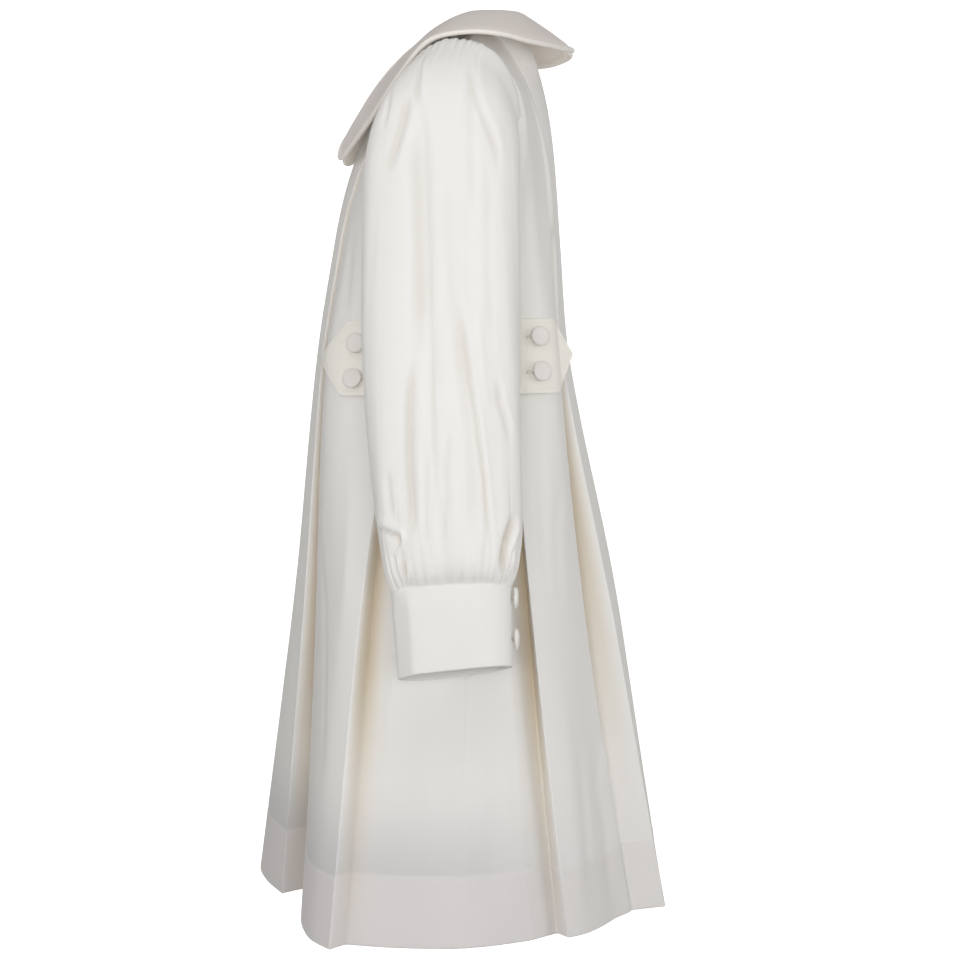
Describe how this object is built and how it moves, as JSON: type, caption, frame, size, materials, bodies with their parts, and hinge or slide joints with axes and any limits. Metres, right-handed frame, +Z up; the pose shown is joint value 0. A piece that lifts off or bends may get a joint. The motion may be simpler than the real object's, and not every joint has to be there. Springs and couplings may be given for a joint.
{
  "type": "long-sleeved a-line dress, worn shape with no wearer",
  "caption": "Hollow A-line dress with a round cape collar, pleated skirt, gathered sleeves in deep cuffs and pointed side bands with covered buttons.",
  "frame": {"origin": "the neck's centre, level with the side neck points, where the wearer's neck and shoulders hold the dress", "axes": "+Z up, the wearer faces -Y, the wearer's left is +X"},
  "size_m": [0.6784, 0.423, 0.9011],
  "materials": {
    "body_cloth": "ivory wool crepe, matt",
    "sleeve_cloth": "ivory wool crepe, single layer, matt",
    "cuff_cloth": "ivory wool crepe, double layer",
    "collar_cloth": "ivory wool crepe, double layer with a soft rolled edge",
    "band_cloth": "ivory wool crepe, double layer, edge stitched",
    "button_cloth": "ivory wool crepe over button moulds"
  },
  "bodies": {
    "root": {"front": "body_cloth", "back": "body_cloth", "sleeve_left": "sleeve_cloth", "sleeve_right": "sleeve_cloth", "cuff_left": "cuff_cloth", "cuff_right": "cuff_cloth", "collar_left": "collar_cloth", "collar_right": "collar_cloth", "band_left": "band_cloth", "band_right": "band_cloth", "button_front_left_1": "button_cloth", "button_front_left_2": "button_cloth", "button_back_left_1": "button_cloth", "button_back_left_2": "button_cloth", "button_front_right_1": "button_cloth", "button_front_right_2": "button_cloth", "button_back_right_1": "button_cloth", "button_back_right_2": "button_cloth", "button_cuff_left_1": "button_cloth", "button_cuff_left_2": "button_cloth", "button_cuff_right_1": "button_cloth", "button_cuff_right_2": "button_cloth"}
  },
  "joints": []
}
